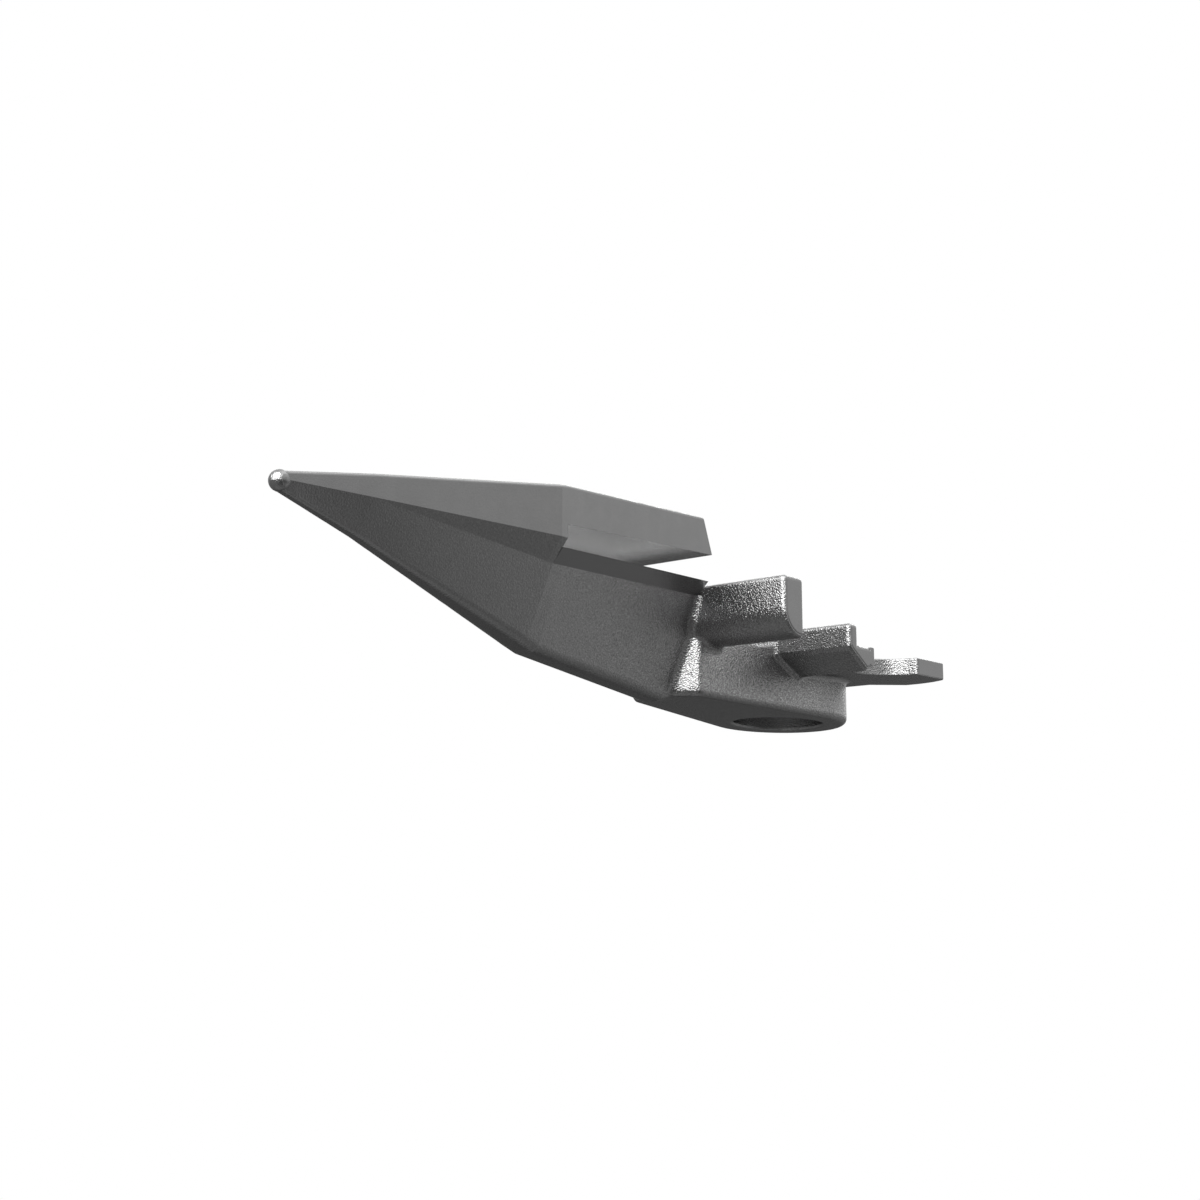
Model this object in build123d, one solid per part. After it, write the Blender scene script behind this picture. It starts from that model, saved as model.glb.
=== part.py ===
from build123d import *
import os
from math import acos, atan2, cos, degrees, hypot, pi, sin, sqrt

# Knife guard (finger) of a sickle-bar mower, with its ledger plate, rivets and fastening bolt.
# Millimetres. +X along the cutter bar, +Y rearwards, +Z up. The origin is where the bolt's axis
# meets the seat, which is the flat top that the cutter bar lies on. The finger points to -Y.

# Driving dimensions
PITCH = 76.2  # spacing of the guards along the cutter bar, 3 inches
END = PITCH / 2  # the lugs end here, face to face with the next guard

SLOT_Y = -107.0  # the slot's front end
SEAM_Y = -109.0  # the tapering nose starts here
APEX_Y = -157.5  # the facet under the nose's side runs out here
APEX_BOTTOM = 10.6
SIDE_X = 16.5  # half width of the lip
SIDE_TAPER = 0.1975  # loss of half width for each millimetre forward of the seam
LEDGE_X = 15.2  # half width of the ledger plate at its shearing edge
LEDGE_Z = 14.4  # height of the ledger plate's top
LEDGE_T = 3.4  # thickness of the ledger plate
BEVEL = 3.2  # how far the plate's bevel leans in
KEEL_X = LEDGE_X - BEVEL  # half width of the keel under the plate
KEEL_TOP = LEDGE_Z - LEDGE_T
KEEL_BOTTOM = -6.9  # keel's bottom under the slot's front end
KEEL_FLAT = 3.6  # half width there, before rounding
KEEL_R = 3.2
KEEL_LINE = ((-103.2, -8.25), (-56.0, -15.0), (-46.0, -13.4))  # its bottom from there to the boss

TIP_Y = -177.4  # centre of the ball at the tip
TIP_Z = 18.9
TIP_R = 2.35

TOP_R = 0.9  # rounding of the upper edges
SLOT_Z = 19.5  # slot ceiling at its front end
SLOT_RISE = 1.4  # the ceiling is this much higher at the lip's rear end
SLOT_CORNER_R = 0.7
LIP_Y = -52.0  # lip's rear end at the ceiling
LIP_RAKE = 3.5  # the rear end leans forward by this much at the top
LIP_TOP = (28.7, 30.2)  # lip's top at the seam and at the rear end

BAR_Y = (-51.9, -43.7)  # front and rear of the trash bar
BAR_Z = (-1.3, 13.6)  # bottom and top of the trash bar
BAR_R = 6.8  # round of its lower front
BAR_EDGE_R = 1.3

FENCE_Y = (-22.9, -19.05)  # front and rear of the upright that locates the cutter bar
FENCE_Z = 5.3
FOOT_Y = -11.6  # rear edge of the fence's foot
FOOT_Z = -6.2  # lowest line of the foot
GROOVE_R = 0.8
FENCE_R = 1.2
LUG_EDGE_R = 1.2  # rounding of the lugs' end faces
TAB_R = 1.0
PLATE_EDGE_R = 0.4
PLATE_T = 4.65  # thickness of the seat plate
TAB_Y = 24.4  # rear edge of the tab at the end face
NOTCH_R = 11.0  # half-round notch between foot and tab

BOSS_R = 18.8  # boss around the bolt
BOSS_Z = -16.1  # underside of the boss at the bolt's axis
BOSS_SLOPE = 2.6  # degrees by which the underside rises forwards
BOSS_FRONT = (11.0, -50.0)  # front corner of the boss
BOSS_NOSE_Y = -55.5  # the boss's front faces meet here, inside the keel
BOSS_TOP = (6.0, 0.6, 0.0)  # inside the trash bar, at the channel's floor, and at the seat
BOSS_CORNER_R = 2.5
BOSS_EDGE_R = 1.8
RECESS_R = 12.25
RECESS_DEPTH = 7.0
RECESS_EDGE_R = 0.8

# Inner corners of the forging: radius of each, and a point near the middle of its edges
CHANNEL_R = 2.5
FLARE_R = 2.5
FLARE_AT = (6.2, -52.4, -4.5)  # where the keel flares into the boss
BAR_ROOT_R = 2.0
LUG_ROOT_R = 1.5
LUG_ROOT_AT = (
    (17.9, -7.3, -4.65), (16.9, -13.2, -5.4), (16.1, -18.4, -3.9), (15.4, -22.4, -1.1), (15.4, -22.9, 0.0),
)

# Fastening: 3/8 in - 16 carriage bolt, 1 1/4 in long
BOLT_R = 4.725
BOLT_LENGTH = 31.75
HEAD_R = 10.6
HEAD_H = 5.0
NECK = 9.7  # square neck, across its flats
NECK_H = 6.2
NECK_GAP = 0.1
HOLE_R = 5.15
WASHER_R = (5.15, 10.3)
WASHER_T = 1.65
SPRING_R = (5.0, 8.65)
SPRING_T = 2.4
SPRING_GAP = 1.2
NUT_FLATS = 14.29
NUT_H = 8.33
NUT_BORE_R = 4.8

RIVETS_Y = (-94.0, -66.0)
RIVET_R = 2.6
RIVET_HEAD_R = 4.3
RIVET_HEAD_H = 1.7
RIVET_LENGTH = 11.0

MIRROR_X = Plane.YZ


def both_sides(part):
    """The part and its mirror image in the centre plane."""
    return part + mirror(part, about=MIRROR_X)


def mirrored(half):
    """Closed outline from the points of its right half, listed from top to bottom."""
    return half + [(-x, z) for x, z in reversed(half)]


def section(y, half, bottom_r=None, top_r=None):
    """Upright cross-section of the finger at y, with rounded bottom or top corners."""
    plane = Plane((0, y, 0), x_dir=(1, 0, 0), z_dir=(0, -1, 0))
    face = plane * make_face(Polyline(*mirrored(half), close=True))
    if bottom_r:
        face = fillet(face.vertices().sort_by(Axis.Z)[:2], bottom_r)
    if top_r:
        face = fillet(face.vertices().sort_by(Axis.Z)[-2:], top_r)
    return face


def side_face(points):
    """Face in the centre plane from an outline in (y, z)."""
    return make_face(Polyline(*[(0, y, z) for y, z in points], close=True))


def across(face, half_width):
    """Prism along X over both sides from a face in the centre plane."""
    return extrude(face, amount=half_width, dir=(1, 0, 0), both=True)


def between(first, last, share):
    """Points part of the way from one section to another."""
    return [tuple(a + share * (b - a) for a, b in zip(p, q)) for p, q in zip(first, last)]


def nose():
    """Tapering point: the side wall, a narrow facet under it and the keel's wall."""
    apex_x = SIDE_X + SIDE_TAPER * (APEX_Y - SEAM_Y)
    tip = [(1.9, 20.8), (1.9, 18.9), (1.85, 18.8), (1.0, 16.6)]
    apex = [(apex_x, 23.2), (apex_x, 18.0), (apex_x - 0.1, 17.9), (1.3, APEX_BOTTOM)]
    slot = [(SIDE_X, LIP_TOP[0]), (SIDE_X, 16.3), (KEEL_X, KEEL_TOP), (KEEL_FLAT, KEEL_BOTTOM)]
    share = (SEAM_Y - APEX_Y) / (SLOT_Y - APEX_Y)
    seam = between(apex, slot, share)
    seam[:2] = [(SIDE_X, seam[0][1]), (SIDE_X, seam[1][1])]
    sections = [
        section(TIP_Y, tip, 0.9, 0.7),
        section(APEX_Y, apex, 1.7, 0.8),
        section(SEAM_Y, seam, KEEL_R, TOP_R),
        section(SLOT_Y, slot, KEEL_R, TOP_R),
    ]
    return loft(sections, ruled=True) + Pos(0, TIP_Y, TIP_Z) * Sphere(TIP_R)


def keel():
    """Tapered blade under the ledger plate, its lower edge running out in the boss's underside."""
    top = (KEEL_X, KEEL_TOP)
    return loft([
        section(SLOT_Y, [top, (KEEL_FLAT, KEEL_BOTTOM)], KEEL_R),
        *(section(y, [top, (KEEL_FLAT, z)], KEEL_R) for y, z in KEEL_LINE),
    ], ruled=True)


def lip():
    """Hold-down lip over the slot, with a raked rear end."""
    front = [(SIDE_X, LIP_TOP[0]), (SIDE_X, SLOT_Z)]
    rear = [(SIDE_X, LIP_TOP[1]), (SIDE_X, SLOT_Z + SLOT_RISE)]
    block = loft([section(SLOT_Y, front, top_r=TOP_R), section(LIP_Y, rear, top_r=TOP_R)], ruled=True)
    rake = degrees(atan2(LIP_RAKE, LIP_TOP[1] - SLOT_Z - SLOT_RISE))
    behind = Pos(0, LIP_Y, SLOT_Z + SLOT_RISE) * Rot(rake, 0, 0) * Box(
        50, 20, 60, align=(Align.CENTER, Align.MIN, Align.CENTER)
    )
    return block - behind


def trash_bar():
    y0, y1 = BAR_Y
    z0, z1 = BAR_Z
    face = side_face([(y0, z0), (y1, z0), (y1, z1), (y0, z1)])
    face = fillet(face.vertices().sort_by(Axis.Z)[:2].sort_by(Axis.Y)[0], BAR_R)
    sharp = face.vertices().sort_by(Axis.Y)[-2:] + face.vertices().sort_by(Axis.Z)[-2:].sort_by(Axis.Y)[:1]
    face = fillet(sharp, BAR_EDGE_R)
    bar = across(face, END)
    ends = bar.faces().filter_by(Axis.X)
    return fillet(ends.edges(), LUG_EDGE_R)


def fence():
    """Upright and foot of the front lug, in one section from end to end."""
    y0, y1 = FENCE_Y
    face = side_face([
        (y0, FENCE_Z), (y0, -0.6), (y0 + 0.9, -1.7), (y0 + 8.0, FOOT_Z),
        (FOOT_Y, -PLATE_T), (FOOT_Y, 0), (y1, 0), (y1, FENCE_Z),
    ])
    corners = face.vertices()
    face = fillet(corners.sort_by(Axis.Z)[-2:] + corners.sort_by(Axis.Y)[-2:].sort_by(Axis.Z)[1:], FENCE_R)
    lug = across(face, END)
    lug = fillet(lug.faces().filter_by(Axis.X).edges(), LUG_EDGE_R)
    groove = Pos(0, y1 + 0.3, 0.2) * Rot(0, 90, 0) * Cylinder(GROOVE_R, PITCH + 2)
    return lug - groove


def seat_plate():
    """Flat plate under the cutter bar, with a half-round notch and a tab at each end."""
    start = FOOT_Y - 1.5
    outline = (
        Polyline((0, start), (END, start), (END, TAB_Y))
        + ThreePointArc((END, TAB_Y), (31.0, 27.3), (24.6, 27.6))
        + Polyline((24.6, 27.6), (17.0, 20.6), (0, 20.6), (0, start))
    )
    plate = both_sides(Pos(0, 0, -PLATE_T) * extrude(make_face(outline), amount=PLATE_T))
    for side in (-1, 1):
        plate -= Pos(side * END, FOOT_Y + NOTCH_R, 0) * Cylinder(NOTCH_R, 3 * PLATE_T)
    tab_corners = plate.edges().filter_by(Axis.Z).filter_by(
        lambda edge: abs(edge.center().X) > END - 0.1 and edge.center().Y > 0
    )
    plate = fillet(tab_corners, TAB_R)
    rims = plate.faces().filter_by(Axis.Z).edges().filter_by(lambda edge: edge.center().Y > FOOT_Y + 0.1)
    return fillet(rims, PLATE_EDGE_R)


def boss():
    """Boss around the bolt, narrowing forwards into the keel, on a slightly rising underside."""
    front_x, front_y = BOSS_FRONT
    touch = atan2(front_y, front_x) + acos(BOSS_R / hypot(front_x, front_y))
    side_x, side_y = BOSS_R * cos(touch), BOSS_R * sin(touch)
    outline = (
        Polyline((side_x, side_y), (front_x, front_y), (0, BOSS_NOSE_Y), (-front_x, front_y),
                 (-side_x, side_y))
        + ThreePointArc((-side_x, side_y), (0, BOSS_R), (side_x, side_y))
    )
    block = Pos(0, 0, BOSS_Z - 2) * extrude(make_face(outline), amount=BOSS_TOP[0] - BOSS_Z + 2)
    corners = block.edges().filter_by(Axis.Z).filter_by(
        lambda edge: abs(edge.center().Y - front_y) < 0.1
    )
    block = fillet(corners, BOSS_CORNER_R)
    underside = Pos(0, 0, BOSS_Z) * Rot(-BOSS_SLOPE, 0, 0) * Box(
        200, 200, 10, align=(Align.CENTER, Align.CENTER, Align.MAX)
    )
    for start, top in zip((BAR_Y[1] - 2, FENCE_Y[1] - 1), BOSS_TOP[1:]):
        block -= Pos(0, start, top) * Box(200, 200, 50, align=(Align.CENTER, Align.MIN, Align.MIN))
    block -= underside
    rim = block.faces().sort_by(Axis.Z)[0].edges()
    return fillet(rim, BOSS_EDGE_R)


def bolt_hole():
    """Recess for the bolt's head, square hole for its neck, and round hole above."""
    top_of_recess = BOSS_Z + RECESS_DEPTH
    recess = Pos(0, 0, top_of_recess) * Cylinder(
        RECESS_R, RECESS_DEPTH + 1, align=(Align.CENTER, Align.CENTER, Align.MAX)
    )
    square = Pos(0, 0, top_of_recess) * Box(
        NECK + 2 * NECK_GAP, NECK + 2 * NECK_GAP, NECK_H + 0.4,
        align=(Align.CENTER, Align.CENTER, Align.MIN),
    )
    return recess + square + Cylinder(HOLE_R, 2 * RECESS_DEPTH)


def rivet(y):
    """Countersunk drive rivet, flush with the ledger plate's top."""
    up = (Align.CENTER, Align.CENTER, Align.MAX)
    head = Cone(RIVET_R, RIVET_HEAD_R, RIVET_HEAD_H, align=up)
    shank = Cylinder(RIVET_R, RIVET_LENGTH, align=up)
    return Pos(0, y, LEDGE_Z) * (head + shank)


def ledger_rivets():
    return Compound(children=[rivet(y) for y in RIVETS_Y])


def ledger_plate():
    """Hardened shear plate that forms the slot's floor, bevelled under both edges."""
    outline = Plane.XZ * make_face(Polyline(
        (LEDGE_X, LEDGE_Z), (KEEL_X, KEEL_TOP), (-KEEL_X, KEEL_TOP), (-LEDGE_X, LEDGE_Z),
        close=True,
    ))
    plate = extrude(Pos(0, BAR_Y[0], 0) * outline, amount=BAR_Y[0] - SLOT_Y)
    for y in RIVETS_Y:
        plate -= rivet(y)
    return plate


def nearest(part, places):
    """Edges whose centres are nearest to the places, on both sides of the centre plane."""
    found = []
    for x, y, z in places:
        for side in (-1, 1) if x else (1,):
            place = Vector(side * x, y, z)
            found.append(min(part.edges(), key=lambda edge: (edge.center() - place).length))
    return found


def on_bar_front(edge):
    """Whether an edge near the keel lies on the trash bar's front or its round."""
    x, y, z = edge.center()
    on_round = abs(hypot(y - BAR_Y[0] - BAR_R, z - BAR_Z[0] - BAR_R) - BAR_R) < 0.25
    on_front = abs(y - BAR_Y[0]) < 0.05 and z < KEEL_TOP - 0.1
    return abs(x) < KEEL_X + 1.5 and y < BAR_Y[0] + BAR_R - 0.4 and (
        on_front or (on_round and z < BAR_Z[0] + BAR_R + 0.1)
    )


def blended(body):
    """The body with the inner corners of the forging rounded out."""
    floor = BOSS_TOP[1]
    body = fillet(nearest(body, [(0, BAR_Y[1], floor), (0, FENCE_Y[0], floor)]), CHANNEL_R)
    body = fillet(nearest(body, [FLARE_AT]), FLARE_R)
    body = fillet(body.edges().filter_by(on_bar_front), BAR_ROOT_R)
    body = fillet(nearest(body, [(0, BOSS_R, -PLATE_T), *LUG_ROOT_AT]), LUG_ROOT_R)
    body = fillet(nearest(body, [(0, SLOT_Y, SLOT_Z)]), SLOT_CORNER_R)
    return body


def guard_body():
    body = blended(nose() + keel() + lip() + trash_bar() + fence() + seat_plate() + boss())
    body -= bolt_hole()
    recess_rims = body.edges().filter_by(lambda edge: abs(edge.length - 2 * pi * RECESS_R) < 0.3)
    body = fillet(recess_rims, RECESS_EDGE_R)
    for y in RIVETS_Y:
        body -= rivet(y)
    return body


def guard_bolt():
    under_head = BOSS_Z + RECESS_DEPTH
    dome_r = (HEAD_R**2 + HEAD_H**2) / (2 * HEAD_H)
    dome = Pos(0, 0, under_head - HEAD_H + dome_r) * Sphere(dome_r)
    head = dome & Pos(0, 0, under_head) * Cylinder(
        HEAD_R, 2 * HEAD_H, align=(Align.CENTER, Align.CENTER, Align.MAX)
    )
    up = (Align.CENTER, Align.CENTER, Align.MIN)
    neck = Pos(0, 0, under_head) * Box(NECK, NECK, NECK_H, align=up)
    shank = Pos(0, 0, under_head) * Cylinder(BOLT_R, BOLT_LENGTH, align=up)
    shank = chamfer(shank.edges().sort_by(Axis.Z)[-1], 0.8)
    return head + neck + shank


def flat_washer():
    up = (Align.CENTER, Align.CENTER, Align.MIN)
    inner, outer = WASHER_R
    ring = Cylinder(outer, WASHER_T, align=up) - Cylinder(inner, WASHER_T, align=up)
    return chamfer(ring.edges().filter_by(GeomType.CIRCLE).sort_by(SortBy.RADIUS)[-2:], 0.2)


def spring_washer():
    """Split lock washer, pressed flat, with its ends cut at a slant."""
    up = (Align.CENTER, Align.CENTER, Align.MIN)
    inner, outer = SPRING_R
    ring = Cylinder(outer, SPRING_T, align=up) - Cylinder(inner, SPRING_T, align=up)
    split = Pos(0, outer - 1.5, SPRING_T / 2) * Rot(0, 35, 0) * Box(SPRING_GAP, 6, 4 * SPRING_T)
    return Pos(0, 0, WASHER_T) * (ring - split)


def guard_nut():
    up = (Align.CENTER, Align.CENTER, Align.MIN)
    corner_r = NUT_FLATS / sqrt(3)
    prism = extrude(RegularPolygon(corner_r, 6), amount=NUT_H)
    crown = Cylinder(corner_r, NUT_H, align=up)
    crown = chamfer(crown.edges().filter_by(GeomType.CIRCLE), 0.5, 0.9)
    bore = Cylinder(NUT_BORE_R, NUT_H, align=up)
    blank = (prism & crown) - bore
    mouths = blank.edges().filter_by(GeomType.CIRCLE).filter_by(
        lambda edge: abs(edge.radius - NUT_BORE_R) < 0.01
    )
    return Pos(0, 0, WASHER_T + SPRING_T) * chamfer(mouths, 0.5)


NODES = (
    guard_body,
    ledger_plate,
    ledger_rivets,
    guard_bolt,
    flat_washer,
    spring_washer,
    guard_nut,
)

os.makedirs("parts", exist_ok=True)
for node in NODES:
    export_step(node(), f"parts/{node.__name__}.step")
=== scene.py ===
import bpy
from math import cos, pi, radians, sin
from mathutils import Matrix, Vector


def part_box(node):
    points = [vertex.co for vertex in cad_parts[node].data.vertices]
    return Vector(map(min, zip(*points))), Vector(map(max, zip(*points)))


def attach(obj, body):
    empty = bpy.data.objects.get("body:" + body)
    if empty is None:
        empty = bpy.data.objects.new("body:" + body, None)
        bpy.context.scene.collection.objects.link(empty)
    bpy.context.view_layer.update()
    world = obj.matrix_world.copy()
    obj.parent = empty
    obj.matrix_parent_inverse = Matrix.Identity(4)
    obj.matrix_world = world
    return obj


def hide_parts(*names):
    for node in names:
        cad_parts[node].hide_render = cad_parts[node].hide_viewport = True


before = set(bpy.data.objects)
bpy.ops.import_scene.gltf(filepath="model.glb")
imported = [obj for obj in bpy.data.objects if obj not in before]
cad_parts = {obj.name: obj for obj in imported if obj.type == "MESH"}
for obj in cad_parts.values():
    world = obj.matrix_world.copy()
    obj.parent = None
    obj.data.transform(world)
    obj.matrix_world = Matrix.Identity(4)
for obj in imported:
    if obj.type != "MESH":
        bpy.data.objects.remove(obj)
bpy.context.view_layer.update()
MM = 0.001
WHITE = (1.0, 1.0, 1.0, 1.0)

# Camera: in front of the guard's right side and below it, looking up
AZIMUTH = 39.8
LOOK_UP = 10.05
CAMERA_AT = (0.2782, -0.4098, -0.0689)
LENS_MM = 54.21
SENSOR_MM = 36.0
CLIP_START = 0.01


def look_direction(azimuth, elevation):
    """Unit vector along +Y at azimuth 0, which turns towards -X and rises with elevation."""
    azimuth, elevation = radians(azimuth), radians(elevation)
    level = cos(elevation)
    return Vector((-sin(azimuth) * level, cos(azimuth) * level, sin(elevation)))


def link(name, data):
    holder = bpy.data.objects.new(name, data)
    bpy.context.scene.collection.objects.link(holder)
    return holder


def turned(place, direction):
    """Matrix of a camera or lamp at that place, facing that way with its head up."""
    return Matrix.Translation(place) @ direction.to_track_quat("-Z", "Y").to_matrix().to_4x4()


class Nodes:
    """Short calls for building a node tree."""

    def __init__(self, tree):
        self.tree = tree
        self.tree.nodes.clear()

    def add(self, kind, values=None, **settings):
        node = self.tree.nodes.new(kind)
        for key, value in settings.items():
            setattr(node, key, value)
        for key, value in (values or {}).items():
            if isinstance(value, bpy.types.NodeSocket):
                self.tree.links.new(value, node.inputs[key])
            else:
                node.inputs[key].default_value = value
        return node

    def math(self, operation, *values):
        node = self.add("ShaderNodeMath", dict(enumerate(values)), operation=operation)
        return node.outputs[0]

    def multiply(self, a, b):
        return self.math("MULTIPLY", a, b)

    def scaled(self, value, scale, offset):
        """value * scale + offset"""
        return self.math("MULTIPLY_ADD", value, scale, offset)

    def blend(self, share, low, high):
        """Number that is low at share 0 and high at share 1."""
        return self.add("ShaderNodeMix", {0: share, 2: low, 3: high}).outputs[0]

    def split(self, vector):
        return self.add("ShaderNodeSeparateXYZ", {"Vector": vector}).outputs

    def step(self, value, low, high):
        """0 at low, 1 at high, smooth between; low may be the larger of the two."""
        values = {"Value": value, "From Min": low, "From Max": high}
        node = self.add("ShaderNodeMapRange", values, interpolation_type="SMOOTHSTEP")
        return node.outputs[0]

    def ramp(self, factor, stops):
        node = self.add("ShaderNodeValToRGB", {"Fac": factor})
        elements = node.color_ramp.elements
        while len(elements) < len(stops):
            elements.new(1.0)
        for element, (place, grey) in zip(elements, stops):
            element.position = place
            element.color = (grey, grey, grey, 1.0)
        return node.outputs["Color"]

    def grey(self, value):
        return self.add("ShaderNodeCombineColor", {0: value, 1: value, 2: value}).outputs[0]

    def span_ramp(self, value, stops):
        """Ramp over a value from -1 to 1, whose stops are in that range too."""
        share = self.scaled(value, 0.5, 0.5)
        return self.ramp(share, [((place + 1) / 2, grey) for place, grey in stops])


# Studio ---------------------------------------------------------------------------------------

# Brightness of the room above the horizon, by sine of the elevation
UPPER_ROOM = ((0.0, 0.85), (0.15, 1.0), (0.4, 1.3), (0.7, 2.0), (1.0, 2.2))
# Share of it that is left, by how far the direction turns towards the back right
SIDE_ROOM = ((-1.0, 0.3), (-0.3, 0.5), (0.3, 0.8), (0.85, 0.82), (1.0, 1.0))
# Brightness below the horizon, by the same turn
LOWER_ROOM = ((-1.0, 0.24), (-0.5, 0.24), (0.0, 0.1), (0.35, 0.1), (0.8, 0.3), (1.0, 0.5))
BACK_RIGHT = (0.6, 0.8, 0.0)
HORIZON = (-0.03, 0.06)  # sines of the elevation between which lower room turns to upper
NADIR = (-0.8, -0.97)  # and between which the ground's brightness comes in
GROUND = 0.2  # added straight below

AIM = Vector((0.0, -0.075, 0.005))  # middle of the guard, which the lamps face
FLOOR_Z = -0.45
FLOOR_HALF = 8.0


def add_camera():
    camera = bpy.data.cameras.new("camera")
    camera.lens = LENS_MM
    camera.sensor_width = SENSOR_MM
    camera.clip_start = CLIP_START
    holder = link("camera", camera)
    holder.matrix_world = turned(CAMERA_AT, look_direction(AZIMUTH, LOOK_UP))
    bpy.context.scene.camera = holder


def add_room():
    """White behind the object; a room bright above and dark below for its reflections."""
    world = bpy.data.worlds.new("room")
    world.use_nodes = True
    bpy.context.scene.world = world
    n = Nodes(world.node_tree)
    where = n.add("ShaderNodeTexCoord").outputs["Generated"]
    height = n.split(where)["Z"]
    turn = n.add("ShaderNodeVectorMath", {0: where, 1: BACK_RIGHT}, operation="DOT_PRODUCT")
    side = turn.outputs["Value"]
    ground = n.multiply(n.step(height, *NADIR), GROUND)
    lower = n.math("ADD", n.span_ramp(side, LOWER_ROOM), ground)
    upper = n.multiply(n.span_ramp(height, UPPER_ROOM), n.span_ramp(side, SIDE_ROOM))
    strength = n.blend(n.step(height, *HORIZON), lower, upper)
    room = n.add("ShaderNodeBackground", {"Color": WHITE, "Strength": strength})
    white = n.add("ShaderNodeBackground", {"Color": WHITE, "Strength": 1.0})
    seen = n.add("ShaderNodeLightPath").outputs["Is Camera Ray"]
    mix = n.add("ShaderNodeMixShader", {0: seen, 1: room.outputs[0], 2: white.outputs[0]})
    n.add("ShaderNodeOutputWorld", {"Surface": mix.outputs[0]})


def add_softbox(name, azimuth, elevation, distance, size, radiance):
    """Soft rectangular lamp that stands in that direction, seen from the guard."""
    lamp = bpy.data.lights.new(name, "AREA")
    lamp.shape = "RECTANGLE"
    lamp.size, lamp.size_y = size
    lamp.energy = radiance * pi * size[0] * size[1]
    holder = link(name, lamp)
    inward = look_direction(azimuth, -elevation)
    holder.matrix_world = turned(AIM - inward * distance, inward)
    holder.visible_camera = False


def add_floor():
    """Pale floor that only the camera sees, so that it doesn't light the guard."""
    mesh = bpy.data.meshes.new("floor")
    signs = ((-1, -1), (1, -1), (1, 1), (-1, 1))
    corners = [(x * FLOOR_HALF, y * FLOOR_HALF, FLOOR_Z) for x, y in signs]
    mesh.from_pydata(corners, [], [(0, 1, 2, 3)])
    holder = link("floor", mesh)
    holder.visible_glossy = holder.visible_diffuse = holder.visible_shadow = False
    material, n = new_material("floor")
    paint = n.add("ShaderNodeEmission", {"Color": WHITE, "Strength": 1.0})
    n.add("ShaderNodeOutputMaterial", {"Surface": paint.outputs[0]})
    mesh.materials.append(material)


# Materials ------------------------------------------------------------------------------------

# Forged steel, whose milled parts differ, and whose upward faces are duller and darkened by
# painted shade
GRAIN_MM = 0.36
GRAIN_DEPTH = 0.17 * MM
SPECKLE_MM = 0.42
SKIN_MM = 5.0  # size of the patches of a slightly other shade and polish
SIDEWAYS = (0.85, 0.93)  # sideways part of the normal from which a face may be milled
LIP_Z = (15.6 * MM, 16.2 * MM)  # sideways faces above this are milled
END_X = (37.8 * MM, 38.0 * MM)  # and so are those this far out
GRAIN_Y = (-125.0 * MM, -65.0 * MM)  # the cast grain grows between these
GRAIN_FRONT = 0.35  # its strength in front,
GRAIN_GROWTH = 0.5  # what is added behind,
GRAIN_LEAST = 0.12  # and what every face has
SHADE, SKIN_SHADE, CAST_SHADE = 0.175, 0.03, 0.10
PAINTED_SHADE_TOPS = (0.6, 0.97)  # upward part of the normal over which a face is darkened with painted shade
# painted shade: how much the colour of upward faces is darkened so that the lamps don't blow
# them out
TOP_PAINTED_SHADE = -0.68
POLISH, SKIN_POLISH = 0.17, 0.06  # roughness, and what the patches add
LEVEL = (0.9, 0.98)  # upward part of the normal over which a face dulls
LEVEL_POLISH = 0.3

# Ground steel: finer than the forging, with scratches along the finger
SCRATCH_MM = 0.18
SCRATCH_STRETCH = (1.0, 0.04, 1.0)
FINE_MM = 0.28
FINE_DEPTH = 0.03 * MM
GROUND_TOPS = (0.2, 0.6)  # upward part of the normal that tells the top from the bevels, whose darker colour is partly painted shade
SCRATCH_SHADE, SCRATCH_POLISH = 0.08, 0.12

# Plating
MOTTLE_MM = 1.6
PLATING_MM = 0.2
PLATING_DEPTH = 0.02 * MM
MOTTLE_POLISH = 0.2


def new_material(name):
    material = bpy.data.materials.new(name)
    material.use_nodes = True
    return material, Nodes(material.node_tree)


def noise(n, where, size_mm, detail=1.0, roughness=0.5):
    """Noise with features of that size, from 0 to 1."""
    scale = 1 / (size_mm * MM)
    values = {"Vector": where, "Scale": scale, "Detail": detail, "Roughness": roughness}
    return n.add("ShaderNodeTexNoise", values).outputs["Fac"]


def bumped(n, height, depth, strength=1.0):
    """Normal of a surface with that height, from 0 to 1, standing up to depth proud."""
    values = {"Height": height, "Strength": strength, "Distance": depth}
    return n.add("ShaderNodeBump", values).outputs["Normal"]


def finish(n, colour, roughness, normal, metallic):
    values = {"Base Color": colour, "Roughness": roughness, "Normal": normal}
    values["Metallic"] = metallic
    paint = n.add("ShaderNodeBsdfPrincipled", values)
    n.add("ShaderNodeOutputMaterial", {"Surface": paint.outputs[0]})


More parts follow.
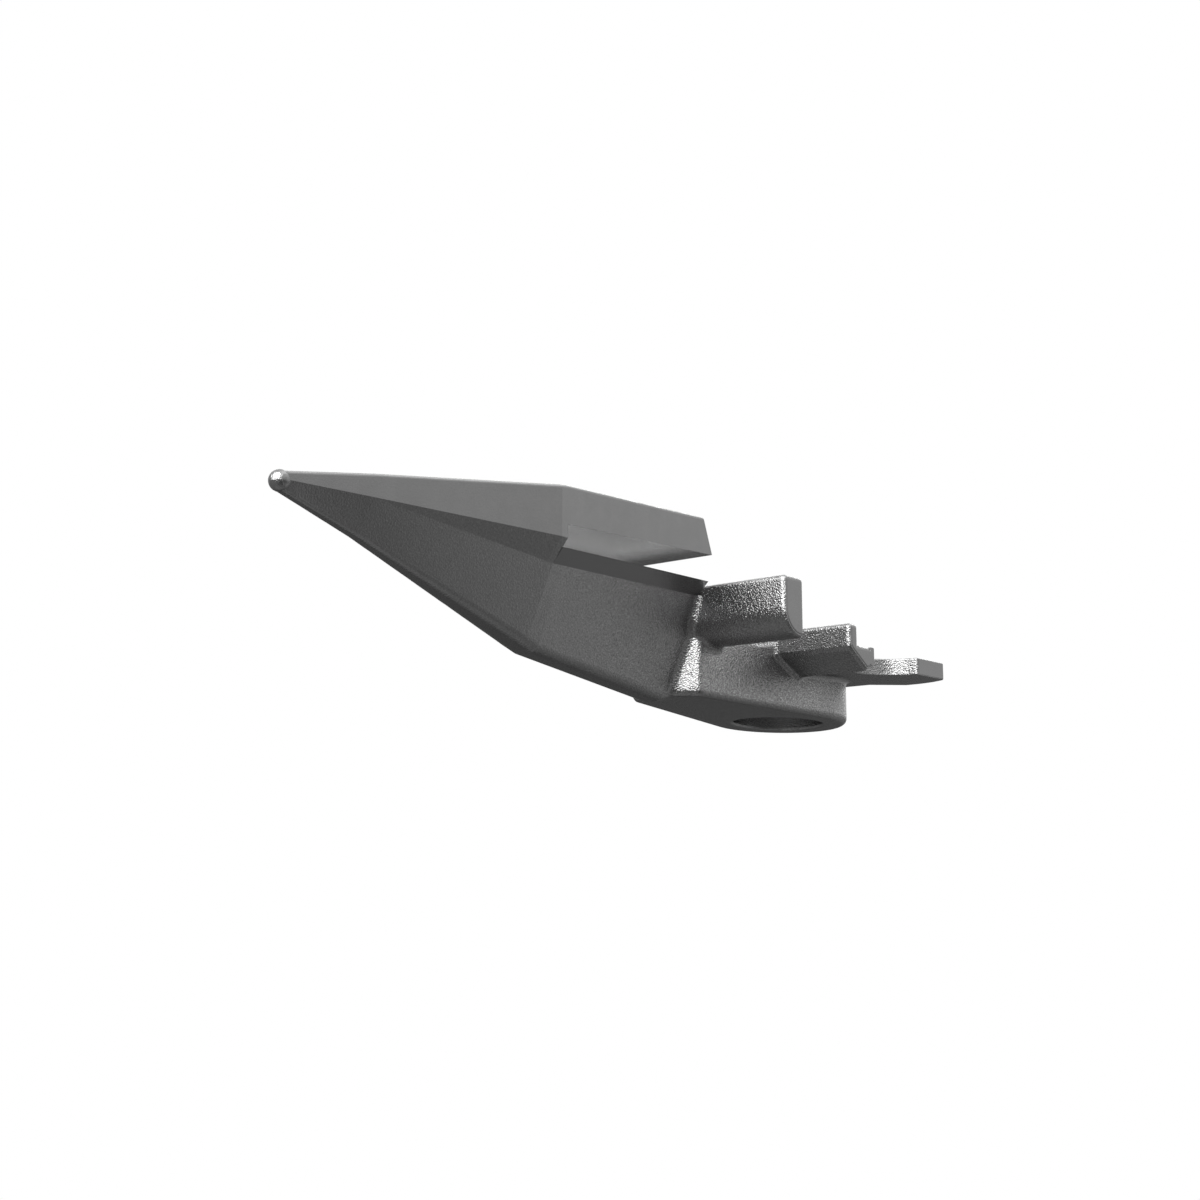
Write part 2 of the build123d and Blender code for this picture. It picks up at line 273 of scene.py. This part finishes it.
def forged_steel():
    """Satin forging skin with a fine grain; the milled sides and lug ends are smoother, and
    upward faces carry painted shade.
    """
    material, n = new_material("forged_steel")
    coords = n.add("ShaderNodeTexCoord").outputs
    where = coords["Object"]
    x, y, z = n.split(where)
    facing, _, up = n.split(coords["Normal"])
    sideways = n.step(n.math("ABSOLUTE", facing), *SIDEWAYS)
    upper = n.multiply(sideways, n.step(z, *LIP_Z))
    end = n.multiply(sideways, n.step(n.math("ABSOLUTE", x), *END_X))
    cast = n.math("SUBTRACT", 1.0, n.math("MAXIMUM", upper, end))
    skin = noise(n, where, SKIN_MM, detail=3.0)

    growth = n.scaled(n.step(y, *GRAIN_Y), GRAIN_GROWTH, GRAIN_FRONT)
    strength = n.math("ADD", n.multiply(cast, growth), GRAIN_LEAST)
    grain = n.multiply(noise(n, where, GRAIN_MM), strength)
    normal = bumped(n, grain, GRAIN_DEPTH)

    roughness = n.scaled(skin, SKIN_POLISH, POLISH)
    roughness = n.scaled(n.step(up, *LEVEL), LEVEL_POLISH, roughness)

    shade = n.scaled(cast, CAST_SHADE, n.scaled(skin, SKIN_SHADE, SHADE))
    # painted shade: upward faces get a darker colour so that the lamps don't blow them out
    shade = n.multiply(shade, n.scaled(n.step(up, *PAINTED_SHADE_TOPS), TOP_PAINTED_SHADE, 1.0))
    speckle = n.math("SUBTRACT", noise(n, where, SPECKLE_MM), 0.5)
    shade = n.multiply(shade, n.scaled(speckle, strength, 1.0))
    finish(n, n.grey(shade), roughness, normal, metallic=0.96)
    return material


def ground_steel(name, bright, bevel_grey_and_shade, roughness):
    """Bright ground top with fine scratches along the finger; the bevels under it are darker,
    partly as a guessed finish and partly as painted shade on faces that turn down.
    """
    material, n = new_material(name)
    coords = n.add("ShaderNodeTexCoord").outputs
    where = coords["Object"]
    top = n.step(n.split(coords["Normal"])["Z"], *GROUND_TOPS)
    stretch = n.add("ShaderNodeVectorMath", {0: where, 1: SCRATCH_STRETCH}, operation="MULTIPLY")
    lines = noise(n, stretch.outputs[0], SCRATCH_MM, detail=3.0)
    scratches = n.multiply(n.math("SUBTRACT", lines, 0.5), top)
    normal = bumped(n, noise(n, where, FINE_MM), FINE_DEPTH)
    # the bevels' darker grey is partly a guessed finish and partly painted shade on the
    # down-turned faces
    shade = n.scaled(scratches, SCRATCH_SHADE, n.blend(top, bevel_grey_and_shade, bright))
    rough = n.scaled(scratches, SCRATCH_POLISH, roughness)
    finish(n, n.grey(shade), rough, normal, metallic=0.85)
    return material


def plated_steel(name, low, high, roughness):
    """Dull plating or blacking, mottled between two greys."""
    material, n = new_material(name)
    where = n.add("ShaderNodeTexCoord").outputs["Object"]
    mottle = noise(n, where, MOTTLE_MM, detail=4.0, roughness=0.6)
    normal = bumped(n, noise(n, where, PLATING_MM), PLATING_DEPTH, strength=0.5)
    rough = n.scaled(mottle, MOTTLE_POLISH, roughness - MOTTLE_POLISH / 2)
    finish(n, n.ramp(mottle, [(0.0, low), (1.0, high)]), rough, normal, metallic=1.0)
    return material


def assign(node, material):
    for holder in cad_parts[node].material_slots:
        holder.material = material


# Bolt -----------------------------------------------------------------------------------------

HEAD_R = 10.6 * MM
HEAD_H = 5.0 * MM
NECK_HALF = 4.85 * MM
NECK_H = 6.2 * MM
SHANK_R = 4.725 * MM
PITCH = 1.5875 * MM
THREAD_DEPTH = 0.61 * PITCH
CREST = 0.125  # flat share of a thread at its crest, and again at its root
THREAD_START = 1.0 * MM
END_CHAMFER = 0.9 * MM
SPOKES = 96  # points in each ring of the bolt
ROWS_PER_PITCH = 12
DOME_RINGS = 14
SHARP_DEG = 35.0  # edges sharper than this stay sharp


def square_radius(angle):
    return NECK_HALF / max(abs(cos(angle)), abs(sin(angle)))


def thread_radius(angle, z, top):
    """Radius of the threaded shank, which fades in at its start and is chamfered at its end."""
    turn = (z / PITCH - angle / (2 * pi)) % 1.0
    flank = (abs(2 * turn - 1) - CREST) / (1 - 2 * CREST)
    fade = min(max((z - THREAD_START) / PITCH, 0.0), 1.0)
    radius = SHANK_R - THREAD_DEPTH * fade * min(max(flank, 0.0), 1.0)
    return min(radius, SHANK_R + top - END_CHAMFER - z)


def bolt_rings(bottom, top):
    """Height of each ring and its radius at any angle, from the dome up to the shank's end."""
    dome_r = (HEAD_R**2 + HEAD_H**2) / (2 * HEAD_H)
    rings = []
    for i in range(1, DOME_RINGS + 1):
        height = HEAD_H * (i / DOME_RINGS) ** 2
        radius = (dome_r**2 - (dome_r - height) ** 2) ** 0.5
        rings.append((bottom + height, lambda angle, radius=radius: radius))
    under_head = bottom + HEAD_H
    neck_top = under_head + NECK_H
    rings += [(under_head, square_radius), (neck_top, square_radius)]
    rings.append((neck_top, lambda angle: SHANK_R))
    rows = round((top - THREAD_START) / PITCH * ROWS_PER_PITCH)
    for i in range(rows + 1):
        z = THREAD_START + (top - THREAD_START) * i / rows
        rings.append((z, lambda angle, z=z: thread_radius(angle, z, top)))
    return rings


def add_bolt():
    """Carriage bolt with its thread, in place of the plain CAD bolt."""
    low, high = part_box("guard_bolt")
    bottom, top = low[2], high[2]
    rings = bolt_rings(bottom, top)
    angles = [2 * pi * i / SPOKES for i in range(SPOKES)]
    points = [(r(a) * cos(a), r(a) * sin(a), z) for z, r in rings for a in angles]
    faces = []
    for k in range(len(rings) - 1):
        lower, upper = k * SPOKES, (k + 1) * SPOKES
        for i in range(SPOKES):
            j = (i + 1) % SPOKES
            faces.append((lower + i, lower + j, upper + j, upper + i))
    first, last = len(points), len(points) + 1
    points += [(0.0, 0.0, bottom), (0.0, 0.0, top)]
    end = (len(rings) - 1) * SPOKES
    for i in range(SPOKES):
        j = (i + 1) % SPOKES
        faces += [(first, j, i), (last, end + i, end + j)]
    mesh = bpy.data.meshes.new("threaded_bolt")
    mesh.from_pydata(points, [], faces)
    mesh.shade_smooth()
    mesh.set_sharp_from_angle(angle=radians(SHARP_DEG))
    piece = link("threaded_bolt", mesh)
    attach(piece, "guard")
    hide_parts("guard_bolt")
    return piece


add_camera()
add_room()
add_softbox("key", azimuth=11.0, elevation=36.0, distance=1.2, size=(1.6, 1.4), radiance=5.7)
add_softbox(
    "low_back", azimuth=-146.0, elevation=20.0, distance=1.2, size=(1.0, 0.5), radiance=2.6
)
add_floor()

assign("guard_body", forged_steel())
assign("ledger_plate", ground_steel("ground_steel", bright=0.55, bevel_grey_and_shade=0.22, roughness=0.27))
assign("ledger_rivets", ground_steel("rivet_steel", bright=0.45, bevel_grey_and_shade=0.3, roughness=0.32))
zinc = plated_steel("zinc", low=0.42, high=0.55, roughness=0.36)
for node in ("guard_bolt", "flat_washer", "guard_nut"):
    assign(node, zinc)
add_bolt().data.materials.append(zinc)
assign("spring_washer", plated_steel("black_steel", low=0.10, high=0.15, roughness=0.42))

bpy.context.scene.view_settings.view_transform = "Standard"
